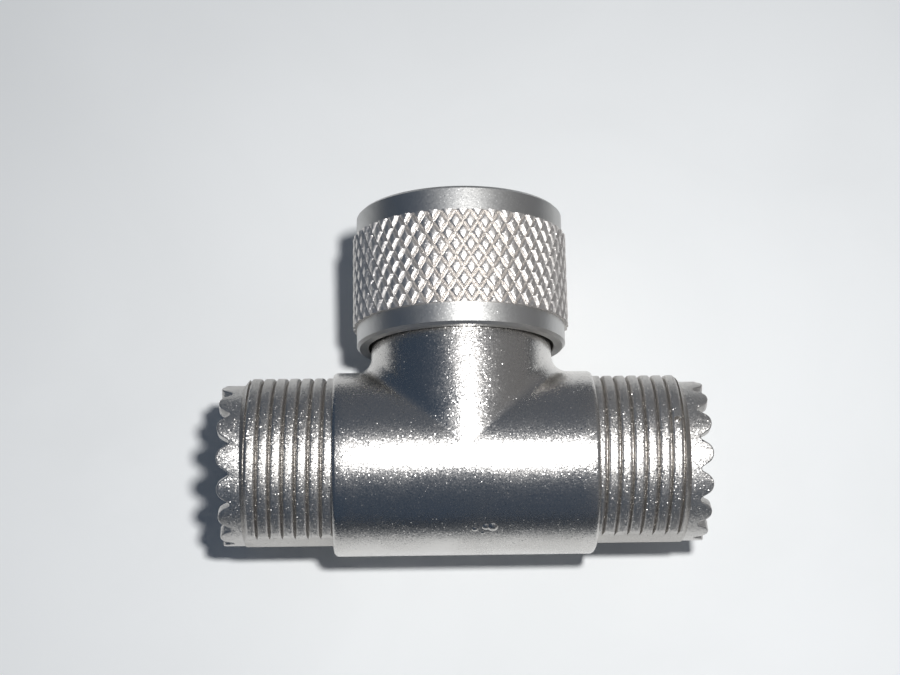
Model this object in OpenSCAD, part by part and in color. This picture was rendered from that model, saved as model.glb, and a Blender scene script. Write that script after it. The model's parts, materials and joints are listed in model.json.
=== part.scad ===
// Coax tee adapter: two threaded jacks on a crossbar, and a plug with a captive nut on the stem.
// It is drawn as it lies on a table: the nut is fatter than the barrel, so the stem tips up a little.

/* [Barrel and stem] */
// Diameter of the crossbar's plain barrel
barrel_d = 16.3; // [16:0.1:18]
// Length of the plain barrel, shoulder to shoulder
barrel_l = 23; // [21:0.5:30]
// Length of the bevel at each shoulder of the barrel
shoulder_bevel = 0.45; // [0.2:0.05:1]
// Diameter of the stem
stem_d = 16.2; // [15.6:0.1:16.2]
// Radius of the cast blend between barrel and stem
blend_r = 1.5; // [0.8:0.1:1.8]

/* [Jacks] */
// Outside diameter of the jack thread
thread_d = 15.6; // [14.6:0.1:15.9]
// Length of the full thread on a jack
thread_l = 7.2; // [6:0.1:10]
// Length of the cone that ends the thread
thread_cone = 0.6; // [0.3:0.05:1]
// Distance across the two cast flats along the thread
thread_flats = 14.5; // [14.4:0.1:15.4]
// Diameter of the plain collar behind the teeth
collar_d = 14.2; // [13.4:0.1:14.2]
// Length of the collar
collar_l = 0.85; // [0.5:0.05:2]
// Number of locking teeth round a mouth
tooth_count = 16; // [8:2:16]
// Radius of a round-topped tooth, which is also its height
tooth_r = 1.1; // [0.7:0.05:1.15]
// Turn of the teeth from the top of the crossbar, away from the stem
tooth_turn = 4; // [0:0.5:22]
// Bore of a jack's mouth
mouth_d = 12; // [11.8:0.1:12.4]
// Depth from the tooth tips to the insulator's face
mouth_depth = 5.2; // [5:0.1:7]

/* [Plug] */
// Depth of the stem's waist, where the snap ring runs
waist_depth = 0.6; // [0.4:0.05:0.9]
// Distance from the crossbar's axis to the start of the waist
waist_y = 11.75; // [11:0.05:13]
// Length of the stem's land in front of the waist
land_l = 0.8; // [0.5:0.05:2]
// Diameter of the seat that the other connector's teeth meet
seat_d = 14; // [13:0.1:14.2]
// Length of the seat's collar in front of the stem
seat_l = 0.55; // [0.4:0.05:2]
// Radius of a locking key on the seat
key_r = 0.5; // [0.3:0.05:0.8]
// Number of locking keys
key_count = 2; // [2:2:4]
// Outside diameter of the plug's ferrule
ferrule_d = 11.7; // [11.4:0.1:11.8]
// Length of the ferrule in front of the seat
ferrule_l = 4.6; // [3:0.1:5]
// Bore of the ferrule
ferrule_bore = 10.2; // [9:0.1:10.4]
// Diameter of the centre pin
pin_d = 3.96; // [3.9:0.01:3.98]
// Length of the pin in front of the seat
pin_l = 9.6; // [8:0.1:10]
// Bevel at the pin's tip
pin_bevel = 0.7; // [0.3:0.1:1]

/* [Coupling nut] */
// Diameter over the knurl's points
knurl_d = 19.6; // [19.4:0.1:22]
// Number of knurl points in a row round the nut
knurl_count = 46; // [36:2:56]
// Number of half steps along the knurled band, from one row of points to the next
knurl_rows = 8; // [6:2:12]
// Diameter of the plain rims
rim_d = 18.9; // [18.6:0.1:20]
// Distance from the crossbar's axis to the nut's rear face
nut_y = 10.5; // [10.2:0.05:11]
// Length of the rear rim
rear_rim = 1.9; // [1.4:0.05:2.5]
// Length of the knurled band
knurl_l = 8.3; // [6:0.1:12]
// Length of the front rim
front_rim = 2.25; // [1:0.05:4]
// Bevel on the nut's edges
nut_bevel = 0.25; // [0.1:0.05:0.4]
// Crest bore of the nut's thread
nut_bore = 14.7; // [14.6:0.05:15]
// Depth of the nut's thread
nut_thread_depth = 0.6; // [0.4:0.05:0.7]
// Gap between the stem and the nut's rear bore
nut_gap = 0.3; // [0.1:0.05:0.3]
// Travel of the nut along the stem
nut_travel = 1.2; // [0.6:0.1:1.6]

/* [Snap ring] */
// Gap between the ring and the stem's waist
ring_slack = 0.1; // [0.05:0.05:0.2]
// Width of the ring along the stem
ring_w = 1; // [0.6:0.05:1.2]
// Width of the ring's split
ring_split = 3; // [1:0.5:6]
// Running gap round the ring
ring_gap = 0.05; // [0.02:0.01:0.1]

/* [Insides] */
// Diameter of a jack's insulator
insulator_d = 11.6; // [10.8:0.1:11.7]
// Length of a jack's insulator
insulator_l = 9; // [7:0.1:11]
// Diameter of the cavity in the middle of the casting
cavity_d = 9; // [8.8:0.1:10]
// Diameter of a socket contact
contact_d = 6; // [5.4:0.1:6.4]
// Bore of a socket contact
contact_bore = 4; // [4:0.01:4.1]
// Depth of the contact's bore
contact_depth = 9.5; // [7:0.1:10.5]
// Length of the slots in a socket contact
slot_l = 6.5; // [4:0.1:8]
// Width of the slots
slot_w = 0.5; // [0.3:0.05:0.6]
// Diameter of the collar that holds a socket contact behind its insulator
contact_collar_d = 7.4; // [6.8:0.1:8]
// Diameter of the collar that holds the pin behind its insulator
pin_collar_d = 6.4; // [5.6:0.1:7]
// Diameter of the pin's shank inside its insulator
pin_shank_d = 4.6; // [4.2:0.1:5]
// Width of the junction block, across the crossbar
block_w = 5.8; // [5.4:0.1:6]
// Length of the junction block, along the crossbar
block_l = 8; // [7.6:0.1:9]
// Diameter of the contacts' screwed ends
stud_d = 3; // [2.6:0.1:3.2]
// Length of the contacts' screwed ends
stud_l = 2.3; // [1.8:0.1:2.3]
// Distance from the crossbar's axis to the plug insulator's rear face
plug_seat_y = 8; // [7:0.1:9]
// Diameter of the well behind the plug's insulator
well_d = 8.4; // [7.8:0.1:8.8]
// Recess of the plug's insulator in the ferrule
plug_recess = 0.4; // [0:0.1:1]
// Gap round pieces that are pressed or screwed together
seat_gap = 0.02; // [0.01:0.01:0.05]

/* [Hidden] */
$fn = 96;
over = 1;
shoulder_x = barrel_l / 2;
thread_x = shoulder_x + thread_l;
collar_x = thread_x + thread_cone;
root_x = collar_x + collar_l;
tip_x = root_x + tooth_r;
insulator_x = tip_x - mouth_depth;
insulator_seat_x = insulator_x - insulator_l;
waist_d = stem_d - 2 * waist_depth;
ring_in_d = waist_d + 2 * ring_slack;
ring_y = waist_y + ring_gap;
waist_l = ring_w + nut_travel + 2 * ring_gap;
stem_l = waist_y + waist_l + land_l;
seat_y = stem_l + seat_l;
ferrule_y = seat_y + ferrule_l;
pin_y = seat_y + pin_l;
pin_face_y = ferrule_y - plug_recess;
ferrule_bevel = (ferrule_d - ferrule_bore) / 4;
nut_rear_bore = stem_d + 2 * nut_gap;
// Share of the rear rim's wall that the ring's groove takes
groove_share = 1 / 3;
groove_d = nut_rear_bore + groove_share * (rim_d - nut_rear_bore);
ring_out_d = groove_d - 2 * ring_gap;
nut_step_y = stem_l + nut_gap;
// Share of the knurl's height over the rims that is left under its grooves
knurl_rest = 0.2;
knurl_floor_d = rim_d + knurl_rest * (knurl_d - rim_d);
// The knurl's band is rooted half way into the wall over the ring's groove
knurl_core_d = (rim_d + groove_d) / 2;
knurl_y = nut_y + rear_rim;
front_rim_y = knurl_y + knurl_l;
nut_front_y = front_rim_y + front_rim;
// The stem tips up until the knurl's rear edge and the barrel touch the table together.
rest_tilt = acos(barrel_d / 2 / norm([knurl_d / 2, knurl_y])) - atan2(knurl_y, knurl_d / 2);
pin_reach = pin_y * cos(rest_tilt) + (pin_d / 2 - pin_bevel) * sin(rest_tilt);
nut_reach = nut_front_y * cos(rest_tilt) + (rim_d / 2 - nut_bevel) * sin(rest_tilt);
middle_y = (max(pin_reach, nut_reach) - barrel_d / 2) / 2;
// Steps round the stem and across the hollow of the cast blend
blend_steps = 32;
blend_arcs = 6;
// How far the blend's edges run into barrel and stem
blend_bite = 0.04;
// Depth of the blend's inner edge under its hollow
blend_root = 1.5;
nickel = [0.72, 0.71, 0.68];
silver = [0.8, 0.8, 0.78];
brass = [0.78, 0.62, 0.32];
spring_steel = [0.55, 0.55, 0.55];
insulation = [0.9, 0.89, 0.85];

// Stands the adapter on the table, with the middle of its footprint at the origin.
module at_rest() {
    translate([0, -middle_y, barrel_d / 2])
        rotate([rest_tilt, 0, 0])
            children();
}

// Turns a piece drawn round Z to lie along the crossbar.
module along_crossbar(left = false) {
    mirror([left ? 1 : 0, 0, 0])
        rotate([0, 90, 0])
            children();
}

// Turns a piece drawn round Z to lie along the stem.
module along_stem() {
    rotate([-90, 0, 0])
        children();
}

// A cylinder round Z between two heights.
module rod(d, from, to) {
    translate([0, 0, from])
        cylinder(d = d, h = to - from);
}

// Round-topped lobes that stand on a ring, spaced evenly from a start angle.
module lobes(count, lobe_r, base, in_d, out_d, start) {
    intersection() {
        difference() {
            rod(out_d, base - lobe_r / 2, base + 2 * lobe_r);
            rod(in_d, base - lobe_r, base + 3 * lobe_r);
        }
        for (i = [0 : count - 1])
            rotate(start + i * 360 / count)
                translate([0, 0, base])
                    rotate([0, 90, 0])
                        cylinder(r = lobe_r, h = out_d);
    }
}

// Outside of the crossbar: barrel, threads at their full diameter, cones and collars.
module crossbar_outside() {
    rotate_extrude()
        polygon([
            [0, -root_x], [collar_d / 2, -root_x], [collar_d / 2, -collar_x],
            [thread_d / 2, -thread_x], [thread_d / 2, -shoulder_x],
            [barrel_d / 2, shoulder_bevel - shoulder_x], [barrel_d / 2, shoulder_x - shoulder_bevel],
            [thread_d / 2, shoulder_x], [thread_d / 2, thread_x],
            [collar_d / 2, collar_x], [collar_d / 2, root_x], [0, root_x]
        ]);
}

// Outside of the stem: the ring's waist, the land, the seat and the ferrule.
module stem_outside() {
    rotate_extrude()
        polygon([
            [0, 0], [stem_d / 2, 0], [stem_d / 2, waist_y], [waist_d / 2, waist_y],
            [waist_d / 2, waist_y + waist_l], [stem_d / 2, waist_y + waist_l],
            [stem_d / 2, stem_l], [seat_d / 2, stem_l], [seat_d / 2, seat_y],
            [ferrule_d / 2, seat_y], [ferrule_d / 2, ferrule_y - ferrule_bevel],
            [ferrule_d / 2 - ferrule_bevel, ferrule_y], [0, ferrule_y]
        ]);
}

// The blend is the path of a ball that rolls round the stem and touches barrel and stem.
// Where the stem is wider than the barrel, the ball stays level with the crossbar's axis.
function ball_at(turn) =
    let (reach_stem = stem_d / 2 + blend_r - blend_bite)
    let (reach_barrel = barrel_d / 2 + blend_r - blend_bite)
    let (side = reach_stem * sin(turn))
    [reach_stem * cos(turn), sqrt(max(0, pow(reach_barrel, 2) - pow(side, 2))), side];

// One section of the blend: the hollow from barrel to stem, closed by a point inside the casting.
function blend_section(turn) =
    let (ball = ball_at(turn))
    let (to_barrel = [0, -ball.y, -ball.z] / norm([0, ball.y, ball.z]))
    let (to_stem = [-ball.x, 0, -ball.z] / norm([ball.x, 0, ball.z]))
    let (anchor = ball + (blend_r + blend_root) * (to_barrel + to_stem) / norm(to_barrel + to_stem))
    concat(
        [for (i = [0 : blend_arcs])
            let (way = to_barrel * (1 - i / blend_arcs) + to_stem * i / blend_arcs)
            ball + blend_r * way / norm(way)],
        [anchor]);

module blend() {
    ring = blend_arcs + 2;
    points = [for (i = [0 : blend_steps - 1]) each blend_section(i * 360 / blend_steps)];
    faces = [for (i = [0 : blend_steps - 1], j = [0 : ring - 1])
        let (a = i * ring + j)
        let (b = i * ring + (j + 1) % ring)
        let (c = (i + 1) % blend_steps * ring + (j + 1) % ring)
        let (d = (i + 1) % blend_steps * ring + j)
        each [[a, b, c], [a, c, d]]];
    polyhedron(points, faces);
}

// Cuts that leave the two cast flats along a jack's thread.
module thread_flat_cuts() {
    for (side = [-1, 1])
        translate([shoulder_x, side > 0 ? thread_flats / 2 : -thread_flats / 2 - over, -thread_d / 2])
            cube([thread_l + thread_cone, over, thread_d]);
}

// A jack's mouth, and behind it the seat for its insulator.
module jack_bore() {
    rod(mouth_d, insulator_x, tip_x + over);
    rod(insulator_d, insulator_seat_x, insulator_x + over);
}

module tee_body() {
    color(nickel) at_rest() difference() {
        union() {
            along_crossbar() crossbar_outside();
            along_stem() stem_outside();
            blend();
            for (left = [false, true])
                along_crossbar(left) lobes(tooth_count, tooth_r, root_x, mouth_d, collar_d, tooth_turn);
            along_stem() lobes(key_count, key_r, seat_y, ferrule_d, seat_d, 0);
        }
        for (left = [0, 1])
            mirror([left, 0, 0]) thread_flat_cuts();
        along_crossbar() jack_bore();
        along_crossbar(true) jack_bore();
        along_crossbar() rod(cavity_d, -insulator_seat_x - over, insulator_seat_x + over);
        along_stem() rod(ferrule_bore, plug_seat_y, ferrule_y + over);
        along_stem() rod(well_d, 0, plug_seat_y + over);
    }
}

// A corner of the knurl's grid, counted in half steps round and along the band.
function knurl_corner(d, i, row) =
    let (turn = i * 180 / knurl_count)
    [d / 2 * cos(turn), d / 2 * sin(turn), knurl_y + row * knurl_l / knurl_rows];

// The knurled band: rows of four-sided points, each row half a step round from the next.
// Each cell of the grid is split along the groove between its two crossings.
module knurl() {
    ring = 2 * knurl_count;
    outside = [for (row = [0 : knurl_rows], i = [0 : ring - 1])
        knurl_corner((i + row) % 2 == 0 ? knurl_d : knurl_floor_d, i, row)];
    inside = [for (row = [knurl_rows, 0], i = [0 : ring - 1]) knurl_corner(knurl_core_d, i, row)];
    rings = knurl_rows + 3;
    faces = [for (row = [0 : rings - 1], i = [0 : ring - 1])
        let (a = row * ring + i)
        let (b = row * ring + (i + 1) % ring)
        let (c = (row + 1) % rings * ring + (i + 1) % ring)
        let (d = (row + 1) % rings * ring + i)
        each (i + row) % 2 == 0 ? [[a, d, b], [b, d, c]] : [[a, d, c], [a, c, b]]];
    polyhedron(concat(outside, inside), faces);
}

// A point of the knurl's rear row is at the bottom, where the nut rests on the table.
module coupling_nut() {
    color(nickel) at_rest() along_stem() union() {
        rotate_extrude()
            polygon([
                [nut_rear_bore / 2, nut_y], [rim_d / 2 - nut_bevel, nut_y], [rim_d / 2, nut_y + nut_bevel],
                [rim_d / 2, nut_front_y - nut_bevel], [rim_d / 2 - nut_bevel, nut_front_y],
                [nut_bore / 2 + nut_thread_depth, nut_front_y],
                [nut_bore / 2, nut_front_y - nut_thread_depth], [nut_bore / 2, nut_step_y],
                [nut_rear_bore / 2, nut_step_y], [nut_rear_bore / 2, ring_y + ring_w + ring_gap],
                [groove_d / 2, ring_y + ring_w + ring_gap], [groove_d / 2, ring_y - ring_gap],
                [nut_rear_bore / 2, ring_y - ring_gap]
            ]);
        rotate(90) knurl();
    }
}

module snap_ring() {
    color(spring_steel) at_rest() along_stem() difference() {
        rod(ring_out_d, ring_y, ring_y + ring_w);
        rod(ring_in_d, ring_y - over, ring_y + ring_w + over);
        translate([-ring_split / 2, 0, ring_y - over])
            cube([ring_split, ring_out_d, ring_w + 2 * over]);
    }
}

// An insulating bush with a bore for its contact.
module bush(out_d, in_d, from, to) {
    difference() {
        rod(out_d - 2 * seat_gap, from, to);
        rod(in_d + 2 * seat_gap, from - over, to + over);
    }
}

module left_insulator() {
    color(insulation) at_rest()
        along_crossbar(true) bush(insulator_d, contact_d, insulator_seat_x, insulator_x);
}

module right_insulator() {
    color(insulation) at_rest()
        along_crossbar() bush(insulator_d, contact_d, insulator_seat_x, insulator_x);
}

module plug_insulator() {
    color(insulation) at_rest()
        along_stem() bush(ferrule_bore, pin_shank_d, plug_seat_y, pin_face_y);
}

// A socket contact: stud, collar, and a bored and slotted barrel that ends flush with its insulator.
module socket_contact() {
    difference() {
        rotate_extrude()
            polygon([
                [0, block_l / 2 - stud_l], [stud_d / 2, block_l / 2 - stud_l], [stud_d / 2, block_l / 2],
                [contact_collar_d / 2, block_l / 2], [contact_collar_d / 2, insulator_seat_x],
                [contact_d / 2, insulator_seat_x], [contact_d / 2, insulator_x], [0, insulator_x]
            ]);
        rod(contact_bore, insulator_x - contact_depth, insulator_x + over);
        for (turn = [45, 135])
            rotate(turn)
                translate([-contact_d / 2 - over, -slot_w / 2, insulator_x - slot_l])
                    cube([contact_d + 2 * over, slot_w, slot_l + over]);
    }
}

module left_socket_contact() {
    color(silver) at_rest() along_crossbar(true) socket_contact();
}

module right_socket_contact() {
    color(silver) at_rest() along_crossbar() socket_contact();
}

module plug_pin() {
    color(silver) at_rest() along_stem() rotate_extrude()
        polygon([
            [0, block_w / 2 - stud_l], [stud_d / 2, block_w / 2 - stud_l], [stud_d / 2, block_w / 2],
            [pin_collar_d / 2, block_w / 2], [pin_collar_d / 2, plug_seat_y],
            [pin_shank_d / 2, plug_seat_y], [pin_shank_d / 2, pin_face_y],
            [pin_d / 2, pin_face_y], [pin_d / 2, pin_y - pin_bevel],
            [pin_d / 2 - pin_bevel, pin_y], [0, pin_y]
        ]);
}

module junction_block() {
    color(brass) at_rest() difference() {
        cube([block_l, block_w, block_w], center = true);
        for (left = [false, true])
            along_crossbar(left)
                rod(stud_d + 2 * seat_gap, block_l / 2 - stud_l - seat_gap, block_l / 2 + over);
        along_stem() rod(stud_d + 2 * seat_gap, block_w / 2 - stud_l - seat_gap, block_w / 2 + over);
    }
}

tee_body();
coupling_nut();
snap_ring();
left_insulator();
right_insulator();
plug_insulator();
left_socket_contact();
right_socket_contact();
plug_pin();
junction_block();
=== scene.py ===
import bpy
import bmesh
import json
import math
from mathutils import Matrix, Vector


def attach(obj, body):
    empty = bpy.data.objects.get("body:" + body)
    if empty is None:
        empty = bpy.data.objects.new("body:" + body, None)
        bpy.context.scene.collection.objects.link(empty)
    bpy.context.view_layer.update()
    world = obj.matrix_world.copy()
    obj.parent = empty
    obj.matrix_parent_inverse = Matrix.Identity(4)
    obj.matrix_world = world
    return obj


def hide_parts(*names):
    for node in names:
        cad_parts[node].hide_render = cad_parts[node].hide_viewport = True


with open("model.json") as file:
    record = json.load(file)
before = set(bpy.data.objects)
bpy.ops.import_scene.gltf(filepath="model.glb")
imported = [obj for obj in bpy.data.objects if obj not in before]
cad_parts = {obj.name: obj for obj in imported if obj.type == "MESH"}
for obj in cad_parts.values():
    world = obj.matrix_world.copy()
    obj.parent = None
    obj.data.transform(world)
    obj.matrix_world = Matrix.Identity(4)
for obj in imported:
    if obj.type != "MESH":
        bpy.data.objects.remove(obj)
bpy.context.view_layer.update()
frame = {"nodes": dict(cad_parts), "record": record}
print("frame loaded with", len(frame["nodes"]), "pieces")

# Sizes below are millimetres in the adapter's own frame: X along the crossbar, Y along the stem, Z up.
# layDown turns them into metres where the adapter lies on the table.
mm = 0.001
weldDistance = 1e-4
mounts = {mount["name"]: mount for mount in frame["record"]["mounts"]}
stemAxis = Vector(mounts["plug_pin"]["axis"])
crossbarPlace = Vector((0, *mounts["right_thread"]["pos_m"][1:]))
restTurn = Matrix.Rotation(math.atan2(stemAxis.z, stemAxis.y), 4, "X")
layDown = Matrix.Translation(crossbarPlace) @ restTurn @ Matrix.Scale(mm, 4)
alongRight = Matrix.Rotation(math.pi / 2, 4, "Y")
alongLeft = Matrix.Rotation(-math.pi / 2, 4, "Y")
alongStem = Matrix.Rotation(-math.pi / 2, 4, "X")


def mountSpan(name):
    mount = mounts[name]
    middle = (Vector(mount["pos_m"]) - crossbarPlace).dot(Vector(mount["axis"])) / mm
    half = mount["dims"]["length_mm"] / 2
    return middle - half, middle + half


# Small tools for meshes

def meshPiece(name, points, faces):
    mesh = bpy.data.meshes.new(name)
    mesh.from_pydata([tuple(point) for point in points], [], faces)
    piece = bpy.data.objects.new(name, mesh)
    bpy.context.scene.collection.objects.link(piece)
    return piece


def tidied(piece, fillHoles=False):
    work = bmesh.new()
    work.from_mesh(piece.data)
    bmesh.ops.remove_doubles(work, verts=work.verts, dist=weldDistance)
    if fillHoles:
        bmesh.ops.holes_fill(work, edges=[edge for edge in work.edges if edge.is_boundary], sides=0)
    bmesh.ops.recalc_face_normals(work, faces=work.faces)
    work.to_mesh(piece.data)
    work.free()
    return piece


# Turns (radius, along) points round Z: solid if the profile starts and ends on the axis, else a ring
def turned(name, profile, columns, placing):
    points, faces, rings = [], [], []
    for radius, along in profile:
        count = columns if radius > 0 else 1
        rings.append([len(points) + column for column in range(count)])
        for column in range(count):
            angle = 2 * math.pi * column / columns
            points.append((radius * math.cos(angle), radius * math.sin(angle), along))
    pairs = list(zip(rings, rings[1:]))
    if profile[0][0] > 0:
        pairs.append((rings[-1], rings[0]))
    for low, high in pairs:
        for column in range(columns):
            after = (column + 1) % columns
            corners = [low[column % len(low)], low[after % len(low)],
                       high[after % len(high)], high[column % len(high)]]
            faces.append(list(dict.fromkeys(corners)))
    piece = tidied(meshPiece(name, points, faces))
    piece.data.transform(placing)
    return piece


def box(name, low, high):
    spread = [(x, y, z) for x in (low[0], high[0]) for y in (low[1], high[1]) for z in (low[2], high[2])]
    sides = [(0, 1, 3, 2), (4, 6, 7, 5), (0, 4, 5, 1), (2, 3, 7, 6), (0, 2, 6, 4), (1, 5, 7, 3)]
    return tidied(meshPiece(name, spread, sides))


def settled(piece):
    graph = bpy.context.evaluated_depsgraph_get()
    mesh = bpy.data.meshes.new_from_object(piece.evaluated_get(graph))
    piece.modifiers.clear()
    piece.data = mesh
    return piece


def combined(piece, operation, *others):
    for other in others:
        step = piece.modifiers.new("step", "BOOLEAN")
        step.solver = "MANIFOLD"
        step.operation = operation
        step.object = other
        settled(piece)
        bpy.data.objects.remove(other)
    return piece


def finished(piece, material, body, node, sharpAngle):
    piece.data.transform(layDown)
    piece.data.materials.clear()
    piece.data.materials.append(material)
    piece.data.polygons.foreach_set("material_index", [0] * len(piece.data.polygons))
    piece.data.shade_smooth()
    piece.data.set_sharp_from_angle(angle=math.radians(sharpAngle))
    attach(piece, body)
    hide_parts(node)
    piece.data.calc_loop_triangles()
    print(piece.name, "has", len(piece.data.loop_triangles), "triangles")


# Small tools for node trees

def linked(tree, source, target):
    tree.links.new(source, target)


def added(tree, kind, **settings):
    node = tree.nodes.new(kind)
    for key, value in settings.items():
        setattr(node, key, value)
    return node


# Links a socket, or sets a plain value
def fed(tree, value, target):
    if isinstance(value, bpy.types.NodeSocket):
        linked(tree, value, target)
    else:
        target.default_value = value


def mathNode(tree, operation, *values):
    node = added(tree, "ShaderNodeMath", operation=operation)
    for socket, value in zip(node.inputs, values):
        fed(tree, value, socket)
    return node.outputs[0]


def radiusOf(tree, first, second):
    squares = [mathNode(tree, "MULTIPLY", value, value) for value in (first, second)]
    return mathNode(tree, "SQRT", mathNode(tree, "ADD", *squares))


def rangeNode(tree, value, low, high, first=0.0, last=1.0, shape="SMOOTHSTEP"):
    node = added(tree, "ShaderNodeMapRange", interpolation_type=shape)
    given = {"Value": value, "From Min": low, "From Max": high, "To Min": first, "To Max": last}
    for label, entry in given.items():
        fed(tree, entry, node.inputs[label])
    return node.outputs[0]


# Mixes two colours, each a socket or red, green and blue
def colourMix(tree, share, first, second):
    node = added(tree, "ShaderNodeMix", data_type="RGBA")
    linked(tree, share, node.inputs[0])
    for socket, colour in zip(node.inputs[6:8], (first, second)):
        fed(tree, colour if isinstance(colour, bpy.types.NodeSocket) else (*colour, 1), socket)
    return node.outputs[2]


def groupNode(tree, group, given):
    node = added(tree, "ShaderNodeGroup", node_tree=group)
    for label, value in given.items():
        fed(tree, value, node.inputs[label])
    return node.outputs


def newTree(name, kind, inputs, outputs):
    tree = bpy.data.node_groups.new(name, kind)
    for label, socketType in outputs:
        tree.interface.new_socket(label, in_out="OUTPUT", socket_type=socketType)
    for label, socketType in inputs:
        tree.interface.new_socket(label, in_out="INPUT", socket_type=socketType)
    return tree, tree.nodes.new("NodeGroupInput").outputs, tree.nodes.new("NodeGroupOutput").inputs


def grown(name, tree, values, material):
    piece = meshPiece(name, [], [])
    modifier = piece.modifiers.new("tree", "NODES")
    modifier.node_group = tree
    names = {item.name: item.identifier for item in tree.interface.items_tree if item.in_out == "INPUT"}
    for label, value in {**values, "Material": material}.items():
        modifier[names[label]] = value
    return settled(piece)


def painted(tree, geometry, given, result):
    paint = added(tree, "GeometryNodeSetMaterial")
    linked(tree, geometry, paint.inputs["Geometry"])
    linked(tree, given["Material"], paint.inputs["Material"])
    linked(tree, paint.outputs[0], result["Geometry"])


# Node tree: copies of one piece round an axis, in rows, every second row turned by a share of a step

def ringPatternTree():
    tree, given, result = newTree(
        "ring pattern", "GeometryNodeTree",
        [("Piece", "NodeSocketObject"), ("Around", "NodeSocketInt"), ("Rows", "NodeSocketInt"),
         ("Row Step", "NodeSocketFloat"), ("Stagger", "NodeSocketFloat"), ("Start Angle", "NodeSocketFloat"),
         ("Material", "NodeSocketMaterial")],
        [("Geometry", "NodeSocketGeometry")])
    index = added(tree, "GeometryNodeInputIndex").outputs[0]
    row = mathNode(tree, "FLOOR", mathNode(tree, "DIVIDE", index, given["Around"]))
    place = mathNode(tree, "ADD", mathNode(tree, "MODULO", index, given["Around"]),
                     mathNode(tree, "MULTIPLY", mathNode(tree, "MODULO", row, 2.0), given["Stagger"]))
    step = mathNode(tree, "DIVIDE", 2 * math.pi, given["Around"])
    angle = mathNode(tree, "ADD", mathNode(tree, "MULTIPLY", place, step), given["Start Angle"])
    position = added(tree, "ShaderNodeCombineXYZ")
    linked(tree, mathNode(tree, "MULTIPLY", row, given["Row Step"]), position.inputs["Z"])
    points = added(tree, "GeometryNodePoints")
    linked(tree, mathNode(tree, "MULTIPLY", given["Around"], given["Rows"]), points.inputs["Count"])
    linked(tree, position.outputs[0], points.inputs["Position"])
    turn = added(tree, "FunctionNodeAxisAngleToRotation")
    turn.inputs["Axis"].default_value = (0, 0, 1)
    linked(tree, angle, turn.inputs["Angle"])
    piece = added(tree, "GeometryNodeObjectInfo", transform_space="ORIGINAL")
    linked(tree, given["Piece"], piece.inputs["Object"])
    copies = added(tree, "GeometryNodeInstanceOnPoints")
    linked(tree, points.outputs[0], copies.inputs["Points"])
    linked(tree, piece.outputs["Geometry"], copies.inputs["Instance"])
    linked(tree, turn.outputs[0], copies.inputs["Rotation"])
    real = added(tree, "GeometryNodeRealizeInstances")
    linked(tree, copies.outputs[0], real.inputs[0])
    painted(tree, real.outputs[0], given, result)
    return tree


# Node tree: one thread ridge, a trapezoid with rounded corners swept along a right-hand helix

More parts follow.
